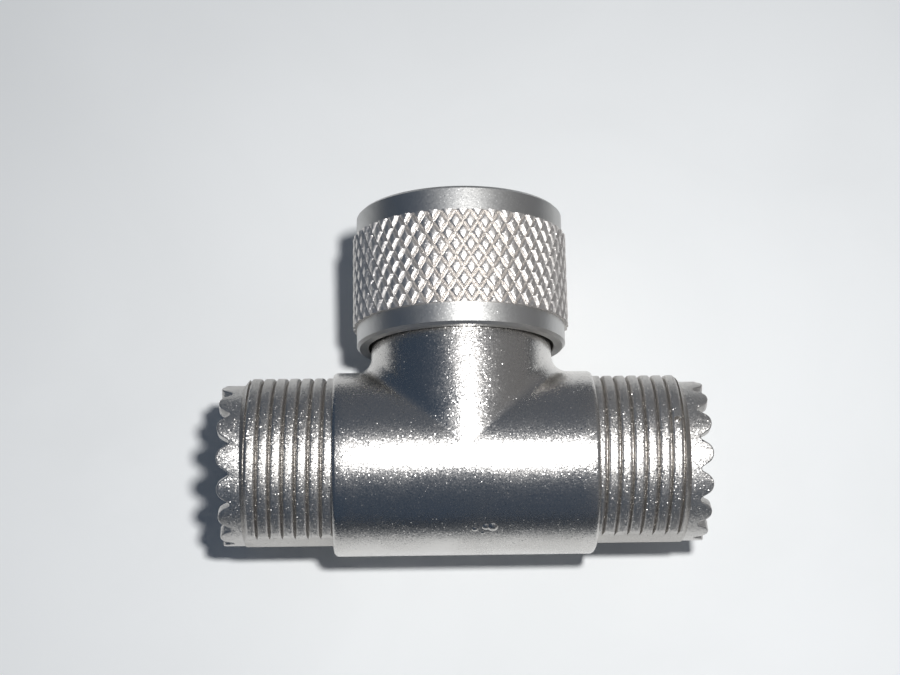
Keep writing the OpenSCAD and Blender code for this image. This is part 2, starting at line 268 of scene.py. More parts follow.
def threadTree():
    tree, given, result = newTree(
        "thread ridge", "GeometryNodeTree",
        [("Root Radius", "NodeSocketFloat"), ("Height", "NodeSocketFloat"), ("Sink", "NodeSocketFloat"),
         ("Root Width", "NodeSocketFloat"), ("Crest Width", "NodeSocketFloat"),
         ("Rounding", "NodeSocketFloat"), ("Pitch", "NodeSocketFloat"), ("Turns", "NodeSocketFloat"),
         ("Steps", "NodeSocketInt"), ("Facing", "NodeSocketFloat"), ("Material", "NodeSocketMaterial")],
        [("Geometry", "NodeSocketGeometry")])
    helix = added(tree, "GeometryNodeCurveSpiral")
    linked(tree, given["Steps"], helix.inputs["Resolution"])
    linked(tree, given["Turns"], helix.inputs["Rotations"])
    linked(tree, given["Root Radius"], helix.inputs["Start Radius"])
    linked(tree, given["Root Radius"], helix.inputs["End Radius"])
    linked(tree, mathNode(tree, "MULTIPLY", given["Pitch"], given["Turns"]), helix.inputs["Height"])
    helix.inputs["Reverse"].default_value = False
    outward = added(tree, "ShaderNodeVectorMath", operation="MULTIPLY")
    linked(tree, added(tree, "GeometryNodeInputPosition").outputs[0], outward.inputs[0])
    outward.inputs[1].default_value = (1, 1, 0)
    unit = added(tree, "ShaderNodeVectorMath", operation="NORMALIZE")
    linked(tree, outward.outputs[0], unit.inputs[0])
    steady = added(tree, "GeometryNodeSetCurveNormal", mode="FREE")
    linked(tree, helix.outputs[0], steady.inputs["Curve"])
    linked(tree, unit.outputs[0], steady.inputs["Normal"])
    full = mathNode(tree, "ADD", given["Height"], given["Sink"])
    slope = mathNode(tree, "DIVIDE", mathNode(tree, "SUBTRACT", given["Root Width"], given["Crest Width"]),
                     given["Height"])
    baseWidth = mathNode(tree, "ADD", given["Root Width"], mathNode(tree, "MULTIPLY", slope, given["Sink"]))
    section = added(tree, "GeometryNodeCurvePrimitiveQuadrilateral", mode="TRAPEZOID")
    linked(tree, full, section.inputs["Height"])
    linked(tree, baseWidth, section.inputs["Bottom Width"])
    linked(tree, given["Crest Width"], section.inputs["Top Width"])
    section.inputs["Offset"].default_value = 0
    corner = added(tree, "ShaderNodeSeparateXYZ")
    linked(tree, added(tree, "GeometryNodeInputPosition").outputs[0], corner.inputs[0])
    onCrest = mathNode(tree, "GREATER_THAN", corner.outputs["Y"], 0.0)
    rounded = added(tree, "GeometryNodeFilletCurve", mode="POLY")
    linked(tree, section.outputs[0], rounded.inputs["Curve"])
    crestRounding = mathNode(tree, "MULTIPLY", given["Rounding"], onCrest)
    leastRounding, roundingSteps = 0.01, 5
    linked(tree, mathNode(tree, "MAXIMUM", crestRounding, leastRounding), rounded.inputs["Radius"])
    rounded.inputs["Count"].default_value = roundingSteps
    turn = added(tree, "FunctionNodeAxisAngleToRotation")
    turn.inputs["Axis"].default_value = (0, 0, 1)
    linked(tree, mathNode(tree, "MULTIPLY", given["Facing"], -math.pi / 2), turn.inputs["Angle"])
    shift = added(tree, "ShaderNodeCombineXYZ")
    half = mathNode(tree, "MULTIPLY", mathNode(tree, "SUBTRACT", given["Height"], given["Sink"]), 0.5)
    linked(tree, mathNode(tree, "MULTIPLY", half, given["Facing"]), shift.inputs["X"])
    standing = added(tree, "GeometryNodeTransform")
    linked(tree, rounded.outputs[0], standing.inputs["Geometry"])
    linked(tree, turn.outputs[0], standing.inputs["Rotation"])
    linked(tree, shift.outputs[0], standing.inputs["Translation"])
    ridge = added(tree, "GeometryNodeCurveToMesh")
    linked(tree, steady.outputs[0], ridge.inputs["Curve"])
    linked(tree, standing.outputs[0], ridge.inputs["Profile Curve"])
    ridge.inputs["Fill Caps"].default_value = True
    painted(tree, ridge.outputs[0], given, result)
    return tree


ringPattern = ringPatternTree()
threadRidge = threadTree()


def patterned(name, one, material, around, startAngle, rows=1, rowStep=0.0, stagger=0.0):
    copies = grown(name, ringPattern, {
        "Piece": one, "Around": around, "Rows": rows, "Row Step": rowStep, "Stagger": stagger,
        "Start Angle": startAngle,
    }, material)
    bpy.data.objects.remove(one)
    return copies


def helicalRidge(name, size, rootRadius, length, facing, material):
    return grown(name, threadRidge, {
        "Root Radius": rootRadius, "Height": size["threadDepth"], "Sink": size["threadSink"],
        "Root Width": size["rootWidth"], "Crest Width": size["crestWidth"], "Rounding": size["crestRounding"],
        "Pitch": size["pitch"], "Turns": length / size["pitch"], "Steps": size["threadSteps"],
        "Facing": facing,
    }, material)


# Shader groups that the metals and the insulation share

def grainGroup():
    tree, given, result = newTree(
        "surface grain", "ShaderNodeTree",
        [("Vector", "NodeSocketVector"), ("Swell Scale", "NodeSocketFloat"),
         ("Grain Scale", "NodeSocketFloat"), ("Grain Share", "NodeSocketFloat")],
        [("Height", "NodeSocketFloat"), ("Mask", "NodeSocketFloat")])
    swell = added(tree, "ShaderNodeTexNoise")
    grain = added(tree, "ShaderNodeTexNoise")
    for node, scale, detail in ((swell, "Swell Scale", 2.0), (grain, "Grain Scale", 3.0)):
        linked(tree, given["Vector"], node.inputs["Vector"])
        linked(tree, given[scale], node.inputs["Scale"])
        node.inputs["Detail"].default_value = detail
    mix = added(tree, "ShaderNodeMix", data_type="FLOAT")
    linked(tree, given["Grain Share"], mix.inputs[0])
    linked(tree, swell.outputs[0], mix.inputs[2])
    linked(tree, grain.outputs[0], mix.inputs[3])
    linked(tree, mix.outputs[0], result["Height"])
    linked(tree, grain.outputs[0], result["Mask"])
    return tree


def handlingGroup():
    tree, given, result = newTree(
        "handling marks", "ShaderNodeTree",
        [("Vector", "NodeSocketVector"), ("Scale", "NodeSocketFloat"), ("Low", "NodeSocketFloat"),
         ("High", "NodeSocketFloat")],
        [("Mask", "NodeSocketFloat")])
    cloud = added(tree, "ShaderNodeTexNoise")
    linked(tree, given["Vector"], cloud.inputs["Vector"])
    linked(tree, given["Scale"], cloud.inputs["Scale"])
    cloud.inputs["Detail"].default_value = 4.0
    cloud.inputs["Distortion"].default_value = 0.6
    linked(tree, rangeNode(tree, cloud.outputs[0], given["Low"], given["High"]), result["Mask"])
    return tree


# Turns the normal a little, by a random amount in each cell, for the glitter of a cast skin
def glitterGroup():
    tree, given, result = newTree(
        "glitter", "ShaderNodeTree",
        [("Vector", "NodeSocketVector"), ("Normal", "NodeSocketVector"), ("Scale", "NodeSocketFloat"),
         ("Amount", "NodeSocketFloat")],
        [("Normal", "NodeSocketVector")])
    cells = added(tree, "ShaderNodeTexVoronoi")
    linked(tree, given["Vector"], cells.inputs["Vector"])
    linked(tree, given["Scale"], cells.inputs["Scale"])
    random = added(tree, "ShaderNodeVectorMath", operation="MULTIPLY_ADD")
    linked(tree, cells.outputs["Color"], random.inputs[0])
    random.inputs[1].default_value = (2, 2, 2)
    random.inputs[2].default_value = (-1, -1, -1)
    square = added(tree, "ShaderNodeVectorMath", operation="DOT_PRODUCT")
    linked(tree, random.outputs[0], square.inputs[0])
    linked(tree, random.outputs[0], square.inputs[1])
    tilt = added(tree, "ShaderNodeVectorMath", operation="SCALE")
    linked(tree, random.outputs[0], tilt.inputs[0])
    spark = mathNode(tree, "POWER", square.outputs["Value"], 2.0)
    linked(tree, mathNode(tree, "MULTIPLY", spark, given["Amount"]), tilt.inputs["Scale"])
    total = added(tree, "ShaderNodeVectorMath", operation="ADD")
    linked(tree, given["Normal"], total.inputs[0])
    linked(tree, tilt.outputs[0], total.inputs[1])
    unit = added(tree, "ShaderNodeVectorMath", operation="NORMALIZE")
    linked(tree, total.outputs[0], unit.inputs[0])
    linked(tree, unit.outputs[0], result["Normal"])
    return tree


grain = grainGroup()
handling = handlingGroup()
glitter = glitterGroup()


# Where the finish, the painted sheen and the painted shade change: the jacks by distance from the middle, the
# knurl and the thread by radius
zones = {
    "jackStart": 11.2, "jackFull": 11.8, "knurlRadius": 9.46, "rootRadius": 7.38, "crestRadius": 7.66,
    # colour of the dust and painted shade in the thread roots
    "dustShadeTone": (0.27, 0.245, 0.215),
}
plainLook = {
    "markLow": 0.35, "markHigh": 0.7, "grainWear": 0.7, "markWear": 0.3, "wearLow": 0.25, "wearHigh": 0.75,
    "endRoughness": 0.0, "endGlitter": 0.0,
    "knurlPolish": 0.0, "knurlGlitter": 0.0, "knurlSheenShare": 0.0, "knurlSheenTone": (0.0, 0.0, 0.0),
    "rootDustShade": 0.0, "crestDust": 0.0, "dustShadeEnd": 0.0,
}


# A metal or plastic: two tones mixed by handling marks, roughness and bump from the grain; on the nickel also
# a painted sheen on the knurl and dust with painted shade in the thread roots
def surface(name, given):
    look = {**plainLook, **given}
    material = bpy.data.materials.new(name)
    material.use_nodes = True
    tree = material.node_tree
    shader = tree.nodes["Principled BSDF"]
    standing = added(tree, "ShaderNodeMapping", vector_type="TEXTURE")  # into the adapter's own frame
    standing.inputs["Location"].default_value = crossbarPlace
    standing.inputs["Rotation"].default_value = restTurn.to_euler()
    linked(tree, added(tree, "ShaderNodeTexCoord").outputs["Object"], standing.inputs["Vector"])
    place = standing.outputs[0]
    corner = added(tree, "ShaderNodeSeparateXYZ")
    linked(tree, place, corner.inputs[0])
    x, y, z = corner.outputs
    outward = mathNode(tree, "ABSOLUTE", x)
    onJack = rangeNode(tree, outward, zones["jackStart"] * mm, zones["jackFull"] * mm)
    onKnurl = mathNode(tree, "GREATER_THAN", radiusOf(tree, x, z), zones["knurlRadius"] * mm)
    marks = groupNode(tree, handling, {
        "Vector": place, "Scale": look["markScale"], "Low": look["markLow"], "High": look["markHigh"],
    })["Mask"]
    texture = groupNode(tree, grain, {
        "Vector": place, "Swell Scale": look["swellScale"], "Grain Scale": look["grainScale"],
        "Grain Share": look["grainShare"],
    })
    wear = mathNode(tree, "ADD", mathNode(tree, "MULTIPLY", texture["Mask"], look["grainWear"]),
                    mathNode(tree, "MULTIPLY", marks, look["markWear"]))
    rough = rangeNode(tree, wear, look["wearLow"], look["wearHigh"], *look["roughness"], shape="LINEAR")
    rough = mathNode(tree, "ADD", rough, mathNode(tree, "MULTIPLY", onJack, look["endRoughness"]))
    rough = mathNode(tree, "SUBTRACT", rough, mathNode(tree, "MULTIPLY", onKnurl, look["knurlPolish"]))
    linked(tree, rough, shader.inputs["Roughness"])
    tone = colourMix(tree, marks, look["tone"], look["markTone"])
    # painted sheen: the knurl gets a lighter tone than the rims of the same plating
    tone = colourMix(tree, mathNode(tree, "MULTIPLY", onKnurl, look["knurlSheenShare"]), tone, look["knurlSheenTone"])
    # Dust and painted shade on the jack threads: darkest in the roots, where the darkening is painted shade
    # for the grooves, with a little dust up to the crests
    deep = rangeNode(tree, radiusOf(tree, y, z), zones["rootRadius"] * mm, zones["crestRadius"] * mm,
                     look["rootDustShade"], look["crestDust"])
    onThread = mathNode(tree, "LESS_THAN", outward, look["dustShadeEnd"] * mm)
    dustAndShade = mathNode(tree, "MULTIPLY", mathNode(tree, "MULTIPLY", onJack, onThread), deep)
    linked(tree, colourMix(tree, dustAndShade, tone, zones["dustShadeTone"]), shader.inputs["Base Color"])
    bump = added(tree, "ShaderNodeBump")
    bump.inputs["Strength"].default_value = look["bump"]
    bump.inputs["Distance"].default_value = look["bumpDepth"] * mm
    linked(tree, texture["Height"], bump.inputs["Height"])
    endFacets = mathNode(tree, "MULTIPLY", onJack, look["endGlitter"])
    knurlFacets = mathNode(tree, "MULTIPLY", onKnurl, look["knurlGlitter"])
    sparkle = mathNode(tree, "ADD", mathNode(tree, "ADD", endFacets, knurlFacets), look["glitter"])
    facets = groupNode(tree, glitter, {
        "Vector": place, "Normal": bump.outputs[0], "Scale": look["glitterScale"], "Amount": sparkle,
    })
    linked(tree, facets["Normal"], shader.inputs["Normal"])
    shader.inputs["Metallic"].default_value = look["metallic"]
    return material


castNickelLook = {
    "tone": (0.68, 0.66, 0.635), "markTone": (0.61, 0.59, 0.565), "metallic": 1.0,
    "roughness": (0.20, 0.31), "endRoughness": 0.15, "bump": 0.5, "bumpDepth": 0.04,
    "markScale": 160, "swellScale": 900, "grainScale": 5600, "grainShare": 0.6,
    "glitterScale": 12500, "glitter": 0.034, "endGlitter": 0.075,
    # darkening of the thread roots: dust with painted shade
    "rootDustShade": 0.34, "crestDust": 0.12, "dustShadeEnd": mountSpan("right_thread")[1] + 0.6,
}
turnedNickelLook = {
    "tone": (0.585, 0.58, 0.57), "markTone": (0.515, 0.51, 0.495), "metallic": 1.0,
    "roughness": (0.38, 0.48), "bump": 0.4, "bumpDepth": 0.02,
    "markScale": 200, "swellScale": 1500, "grainScale": 6500, "grainShare": 0.6,
    "glitterScale": 13000, "glitter": 0.016,
    # the knurl's lighter tone is painted sheen
    "knurlPolish": -0.02, "knurlGlitter": 0.05, "knurlSheenShare": 1.0, "knurlSheenTone": (0.80, 0.765, 0.73),
}
springSteelLook = {
    "tone": (0.46, 0.46, 0.47), "markTone": (0.36, 0.35, 0.34), "metallic": 1.0,
    "roughness": (0.28, 0.42), "bump": 0.2, "bumpDepth": 0.01,
    "markScale": 300, "swellScale": 1500, "grainScale": 7000, "grainShare": 0.5,
    "glitterScale": 9000, "glitter": 0.02,
}
silverPlateLook = {
    "tone": (0.86, 0.84, 0.79), "markTone": (0.70, 0.66, 0.58), "metallic": 1.0,
    "roughness": (0.16, 0.30), "bump": 0.15, "bumpDepth": 0.01,
    "markScale": 260, "swellScale": 1400, "grainScale": 7000, "grainShare": 0.5,
    "glitterScale": 9000, "glitter": 0.01,
}
bareBrassLook = {
    "tone": (0.80, 0.61, 0.30), "markTone": (0.62, 0.44, 0.20), "metallic": 1.0,
    "roughness": (0.22, 0.40), "bump": 0.2, "bumpDepth": 0.012,
    "markScale": 220, "swellScale": 1200, "grainScale": 6000, "grainShare": 0.5,
    "glitterScale": 9000, "glitter": 0.01,
}
insulationLook = {
    "tone": (0.84, 0.83, 0.79), "markTone": (0.76, 0.74, 0.68), "metallic": 0.0,
    "roughness": (0.38, 0.55), "bump": 0.2, "bumpDepth": 0.01,
    "markScale": 240, "swellScale": 1000, "grainScale": 5000, "grainShare": 0.4,
    "glitterScale": 9000, "glitter": 0.0, "subsurface": 0.15, "subsurfaceDepth": 0.5,
}
castNickel = surface("castNickel", castNickelLook)
turnedNickel = surface("turnedNickel", turnedNickelLook)
springSteel = surface("springSteel", springSteelLook)
silverPlate = surface("silverPlate", silverPlateLook)
bareBrass = surface("bareBrass", bareBrassLook)
insulation = surface("insulation", insulationLook)
insulationInputs = insulation.node_tree.nodes["Principled BSDF"].inputs
insulationInputs["Subsurface Weight"].default_value = insulationLook["subsurface"]
insulationInputs["Subsurface Scale"].default_value = insulationLook["subsurfaceDepth"] * mm
print("materials made")


# The casting's middle: barrel and stem with the rolling-ball blend between them

casting = {
    "radius": crossbarPlace.z / mm,  # the barrel lies on the table
    "shoulder": mountSpan("right_thread")[0],
    "shoulderRound": 0.42,
    "blendRadius": 1.5,
    "stemRadius": 8.1,
    "stemEnd": 11.75,
    "rows": 96, "barrelSteps": 10, "blendSteps": 12, "stemSteps": 6, "roundSteps": 5,
    "sharpAngle": 32,
}


def castingMiddle(size):
    radius, blendRadius = size["radius"], size["blendRadius"]
    reach = radius + blendRadius
    straightEnd = size["shoulder"] - size["shoulderRound"]
    points, faces = [], []

    def shoulderRow(turn, side):
        row = []
        for step in range(size["roundSteps"]):
            bend = math.pi / 2 * (1 - step / size["roundSteps"])
            height = radius - size["shoulderRound"] * (1 - math.cos(bend))
            along = straightEnd + size["shoulderRound"] * math.sin(bend)
            row.append(Vector((along, side * height * math.cos(turn), height * math.sin(turn))))
        return row

    def barrelRow(turn, side, stop):
        row = shoulderRow(turn, side)
        for step in range(size["barrelSteps"] + 1):
            along = straightEnd + (stop - straightEnd) * step / size["barrelSteps"]
            row.append(Vector((along, side * radius * math.cos(turn), radius * math.sin(turn))))
        return row

    def stemSideRow(turn):
        contact = reach * math.cos(turn)
        row = barrelRow(turn, 1, contact)
        ball = Vector((contact, contact, reach * math.sin(turn)))
        toBarrel = Vector((0, -math.cos(turn), -math.sin(turn)))
        toStem = Vector((-math.cos(turn), 0, -math.sin(turn)))
        for step in range(1, size["blendSteps"] + 1):
            way = toBarrel.lerp(toStem, step / size["blendSteps"])
            row.append(ball + blendRadius * way.normalized())
        for step in range(1, size["stemSteps"] + 1):
            share = step / size["stemSteps"]
            width = radius + (size["stemRadius"] - radius) * share
            along = contact + (size["stemEnd"] - contact) * share
            row.append(Vector((width * math.cos(turn), along, width * math.sin(turn))))
        return row

    turns = [math.pi * (row / size["rows"] - 0.5) for row in range(size["rows"] + 1)]
    for makeRow in (stemSideRow, lambda turn: barrelRow(turn, -1, 0)):
        for mirrored in (1, -1):
            grid = [[Vector((p.x * mirrored, p.y, p.z)) for p in makeRow(turn)] for turn in turns]
            width = len(grid[0])
            first = len(points)
            points.extend(point for row in grid for point in row)
            for row in range(len(grid) - 1):
                for column in range(width - 1):
                    corner = first + row * width + column
                    faces.append((corner, corner + 1, corner + width + 1, corner + width))
    return tidied(meshPiece("teeBody", points, faces), fillHoles=True)


# Jacks: root cylinder, helical thread with two cast flats, and a sleeve with the collar and its locking teeth

jack = {
    "mouthRadius": mounts["right_mouth"]["dims"]["r_mm"],
    "mouthFloor": mountSpan("right_mouth")[0],
    "toothTip": mountSpan("right_mouth")[1],
    "threadRadius": mounts["right_thread"]["dims"]["r_mm"],
    "threadEnd": mountSpan("right_thread")[1],
    "threadDepth": 0.43, "threadSink": 0.03, "threadSteps": 96, "threadRun": 0.3,
    "pitch": 1.1, "rightThreadTurn": 217.0, "leftThreadTurn": 121.0,
    "crestWidth": 0.80, "rootWidth": 1.08, "crestRounding": 0.26,
    "coneLength": 0.6, "coneLead": 0.3, "conePast": 1.2,
    "collarRadius": 7.1, "collarLap": 0.15, "collarStep": 0.35,
    "skirtInset": 0.4, "skirtDepth": 0.3, "recessWall": 0.4,
    "teeth": 16, "toothTurn": 4.0, "toothHeight": 1.05,
    "tipRadius": 0.92, "valleyRadius": 0.22, "toothEdge": 0.13,
    "tipSteps": 9, "valleySteps": 5, "edgeSteps": 4,
    "flatHalf": 7.25, "flatDraft": 7.0,
    "bury": 1.2, "cutReach": 1, "cutClear": 0.02,
    "columns": 128,
}
jack["toothRoot"] = jack["toothTip"] - jack["toothHeight"]
jack["collarStart"] = jack["threadEnd"] + jack["coneLength"]


# Outline of one tooth with its normals: valley arc, straight flank, tip arc, and the same mirrored
def toothOutline(size, halfPitch):
    tip, valley = size["tipRadius"], size["valleyRadius"]
    rise = size["toothHeight"] - tip - valley
    slope = math.asin((tip + valley) / math.hypot(halfPitch, rise)) + math.atan2(rise, halfPitch)
    low, high = size["valleySteps"], size["tipSteps"]
    arcs = [(-halfPitch, valley, -valley, slope * step / low) for step in range(low + 1)]
    arcs += [(0, size["toothHeight"] - tip, tip, slope * (1 - step / high)) for step in range(high + 1)]
    rising = []
    for across, up, radius, bend in arcs:
        sine, cosine = math.sin(bend), math.cos(bend)
        rising.append((across - radius * sine, up + radius * cosine, -sine, cosine))
    falling = [(-across, up, -leanAcross, leanUp) for across, up, leanAcross, leanUp in rising[-2::-1]]
    return rising + falling


# One sector of the sleeve: a tooth with rounded edges, its share of the collar, and a skirt inside the jack
def sleeveSector(size):
    inner, outer, edge = size["mouthRadius"], size["collarRadius"], size["toothEdge"]
    middle = (inner + outer) / 2
    outline = toothOutline(size, middle * math.pi / size["teeth"])
    bends = [math.pi / 2 * step / size["edgeSteps"] for step in range(size["edgeSteps"] + 1)]
    edges = [(edge * (1 - math.cos(bend)), edge * (1 - math.sin(bend))) for bend in bends]
    skirt, skirtEnd = outer - size["skirtInset"], size["mouthFloor"] - size["skirtDepth"]
    layers = [(inner + inward, inset, None) for inward, inset in edges]
    layers += [(outer - inward, inset, None) for inward, inset in edges[::-1]]
    layers += [(outer, edge, size["collarStart"] - size["collarLap"]),
               (skirt, edge, size["collarStart"] - size["collarStep"]),
               (skirt, edge, skirtEnd), (inner, edge, skirtEnd)]
    points, faces = [], []
    for radius, inset, level in layers:
        for across, up, normalAcross, normalUp in outline:
            angle = (across - normalAcross * inset) / middle
            height = size["toothRoot"] + up - normalUp * inset if level is None else level
            points.append((radius * math.cos(angle), radius * math.sin(angle), height))
    width = len(outline)
    for layer in range(len(layers)):
        low, high = layer * width, (layer + 1) % len(layers) * width
        for step in range(width - 1):
            faces.append((low + step, low + step + 1, high + step + 1, high + step))
    return meshPiece("sleeveSector", points, faces)


def jackEnd(name, placing, toothTurn, threadTurn):
    size = jack
    rootRadius, collarRadius = size["threadRadius"] - size["threadDepth"], size["collarRadius"]
    collarStart = size["collarStart"]
    coneSlope = (size["threadRadius"] - collarRadius) / size["coneLength"]
    buried = casting["shoulder"] - size["bury"]
    recess, lap = size["mouthRadius"] + size["recessWall"], size["collarLap"]
    piece = turned(name, [
        (0, buried), (rootRadius, buried),
        (rootRadius, collarStart - (rootRadius - collarRadius) / coneSlope),
        (collarRadius - lap, collarStart + lap / coneSlope), (recess, collarStart + lap / coneSlope),
        (recess, size["mouthFloor"]), (0, size["mouthFloor"]),
    ], size["columns"], Matrix())
    threadLength = collarStart + size["threadRun"] - buried
    ridge = helicalRidge(name + "Thread", size, rootRadius, threadLength, 1.0, castNickel)
    phase = Matrix.Rotation(math.radians(threadTurn), 4, "Z")
    ridge.data.transform(Matrix.Translation((0, 0, buried)) @ phase)
    combined(piece, "UNION", tidied(ridge))
    outside, clear = size["threadRadius"] + size["cutReach"], size["cutClear"]
    lead, past = size["coneLead"], size["conePast"]
    cone = turned("coneCut", [
        (size["threadRadius"] + coneSlope * lead, size["threadEnd"] - lead),
        (collarRadius + clear, collarStart), (collarRadius + clear, collarStart + past),
        (outside, collarStart + past), (outside, size["threadEnd"] - lead),
    ], size["columns"], Matrix())
    combined(piece, "DIFFERENCE", cone)
    one = sleeveSector(size)
    sleeve = patterned(name + "Sleeve", one, castNickel, size["teeth"], math.radians(toothTurn))
    combined(piece, "UNION", tidied(sleeve))
    piece.data.transform(placing)
    side = 1 if placing == alongRight else -1
    span = sorted((side * (buried - size["cutReach"]), side * (collarStart + clear)))
    for facing, draft in ((0, 0), (180, size["flatDraft"]), (180, -size["flatDraft"])):
        flatCut = box("flatCut", (span[0], 0, -outside), (span[1], outside, outside))
        flatCut.data.transform(Matrix.Rotation(math.radians(facing), 4, "X")
                               @ Matrix.Translation((0, size["flatHalf"], 0))
                               @ Matrix.Rotation(math.radians(draft), 4, "X"))
        combined(piece, "DIFFERENCE", flatCut)
    print(name, "made")
    return piece


# Front of the stem: ring waist, land, seat with its keys, and the ferrule

stemFront = {
    "waistStart": casting["stemEnd"], "waistEnd": 14.05, "waistRadius": 7.5,
    "landEnd": 14.85, "landEdge": 0.12,
    "seatRadius": 7.0, "seatEnd": 15.4, "bury": 1,
    "keys": 2, "keyRadius": 0.5, "keyLap": 0.2, "keyInset": 0.05, "keySink": 0.3,
    "ferruleRadius": 5.85, "ferruleEnd": 20.0, "ferruleBevel": 0.375,
    "columns": 128,
}


# One round-topped key that points along Z, between two radii
def seatKey(innerRadius, outerRadius, halfWidth, sink):
    arcSteps = 12
    trace = [(-halfWidth, -sink)] + [
        (-halfWidth * math.cos(math.pi * step / arcSteps), halfWidth * math.sin(math.pi * step / arcSteps))
        for step in range(arcSteps + 1)] + [(halfWidth, -sink)]
    points = [(radius, across, up) for radius in (innerRadius, outerRadius) for across, up in trace]
    count = len(trace)
    faces = [(step, (step + 1) % count, count + (step + 1) % count, count + step) for step in range(count)]
    return tidied(meshPiece("seatKey", points, faces + [tuple(range(count)), tuple(range(count, 2 * count))]))


def stemFrontPiece():
    size = stemFront
    edge = size["landEdge"]
    buried = size["waistStart"] - size["bury"]
    piece = turned("stemFront", [
        (0, buried), (size["waistRadius"], buried), (size["waistRadius"], size["waistEnd"]),
        (casting["stemRadius"] - edge, size["waistEnd"]), (casting["stemRadius"], size["waistEnd"] + edge),
        (casting["stemRadius"], size["landEnd"] - edge), (casting["stemRadius"] - edge, size["landEnd"]),
        (size["seatRadius"], size["landEnd"]), (size["seatRadius"], size["seatEnd"] - edge),
        (size["seatRadius"] - edge, size["seatEnd"]), (size["ferruleRadius"], size["seatEnd"]),
        (size["ferruleRadius"], size["ferruleEnd"] - size["ferruleBevel"]),
        (size["ferruleRadius"] - size["ferruleBevel"], size["ferruleEnd"]), (0, size["ferruleEnd"]),
    ], size["columns"], alongStem)
    one = seatKey(size["ferruleRadius"] - size["keyLap"], size["seatRadius"] - size["keyInset"],
                  size["keyRadius"], size["keySink"])
    keys = patterned("keys", one, castNickel, size["keys"], 0.0)
    keys.data.transform(alongStem @ Matrix.Translation((0, 0, size["seatEnd"])))
    return combined(piece, "UNION", tidied(keys))


# Bores, cut a little past what they open
bores = {
    "insulatorRadius": 5.8, "insulatorSeat": 7.05, "cavityRadius": 4.5,
    "plugRadius": 5.1, "plugSeat": 8.0, "wellRadius": 4.2, "past": 0.6, "columns": 96,
}
crossEnd = jack["mouthFloor"] + bores["past"]
plugEnd = stemFront["ferruleEnd"] + bores["past"]
crossBore = turned("crossBore", [
    (0, -crossEnd), (bores["insulatorRadius"], -crossEnd),
    (bores["insulatorRadius"], -bores["insulatorSeat"]), (bores["cavityRadius"], -bores["insulatorSeat"]),
    (bores["cavityRadius"], bores["insulatorSeat"]), (bores["insulatorRadius"], bores["insulatorSeat"]),
    (bores["insulatorRadius"], crossEnd), (0, crossEnd),
], bores["columns"], alongRight)
plugBore = turned("plugBore", [
    (0, 0), (bores["wellRadius"], 0), (bores["wellRadius"], bores["plugSeat"]),
    (bores["plugRadius"], bores["plugSeat"]), (bores["plugRadius"], plugEnd), (0, plugEnd),
], bores["columns"], alongStem)

# Marks of the mould: lumps on the barrel's lower front and a pit in the right thread.
# Each has its place along X, its turn about X in degrees, and the radius of its cap.
mouldMarks = {
    "lumps": [(0.73, 53.4, 0.27), (1.42, 56.6, 0.20), (1.67, 51.6, 0.34), (2.26, 51.8, 0.46)],
    "lumpSlope": 38,
    "pit": (18.18, -17.6, 0.31),
    "pitSlope": 130,
    "steps": 16, "columns": 32,
}


# A ball whose cap, with the given edge slope, stands out of a cylinder along X (side -1) or dents it (side 1)
def mouldBall(name, mark, slope, radius, side):
    along, turn, cap = mark
    edge = math.radians(slope)
    ball = cap / math.sin(edge)
    bends = [math.pi * step / mouldMarks["steps"] for step in range(1, mouldMarks["steps"])]
    dome = [(0, -ball)] + [(ball * math.sin(bend), -ball * math.cos(bend)) for bend in bends] + [(0, ball)]
    centre = Matrix.Translation((0, 0, radius + side * ball * math.cos(edge)))
    upright = Matrix.Rotation(math.radians(turn), 4, "X")
    return turned(name, dome, mouldMarks["columns"], Matrix.Translation((along, 0, 0)) @ upright @ centre)


teeBody = castingMiddle(casting)
rightJack = jackEnd("rightJack", alongRight, jack["toothTurn"], jack["rightThreadTurn"])
leftJack = jackEnd("leftJack", alongLeft, -jack["toothTurn"], jack["leftThreadTurn"])
combined(teeBody, "UNION", rightJack, leftJack, stemFrontPiece())
combined(teeBody, "DIFFERENCE", crossBore, plugBore)
for lump in mouldMarks["lumps"]:
    combined(teeBody, "UNION", mouldBall("lump", lump, mouldMarks["lumpSlope"], casting["radius"], -1))
pit = mouldBall("pit", mouldMarks["pit"], mouldMarks["pitSlope"], jack["threadRadius"], 1)
combined(teeBody, "DIFFERENCE", pit)
finished(teeBody, castNickel, "adapter", "tee_body", casting["sharpAngle"])


# Coupling nut: turned rims, diamond knurl and an internal thread

nut = {
    "rear": 10.5, "knurlStart": 12.4, "knurlEnd": 20.7, "front": 22.95,
    "rimRadius": 9.45, "bevel": 0.25, "faceEdge": 0.08,
    "rearBore": 8.4, "grooveRadius": 8.75, "grooveStart": 11.75, "grooveEnd": 12.9,
    "step": 15.15, "lip": 0.5,
    "crestRadius": mounts["coupling_thread"]["dims"]["r_mm"], "pitch": jack["pitch"],
    "threadDepth": 0.57, "threadSink": 0.05, "threadSteps": 96, "threadStart": 0.6, "threadShort": 1.1,
    "rootWidth": 0.92, "crestWidth": 0.2, "crestRounding": 0.04,
    "knurlRadius": 9.797, "knurlDepth": 0.28, "knurlLap": 0.1, "knurlClear": 0.2,
    "diamondsAround": 46, "diamondRows": 8, "diamondSink": 0.2,
    "diamondLevels": ((0, 0.985), (0.36, 0.86), (0.67, 0.71), (0.85, 0.58), (0.95, 0.45), (1, 0.20)),
    "columns": 184, "sharpAngle": 25,
}


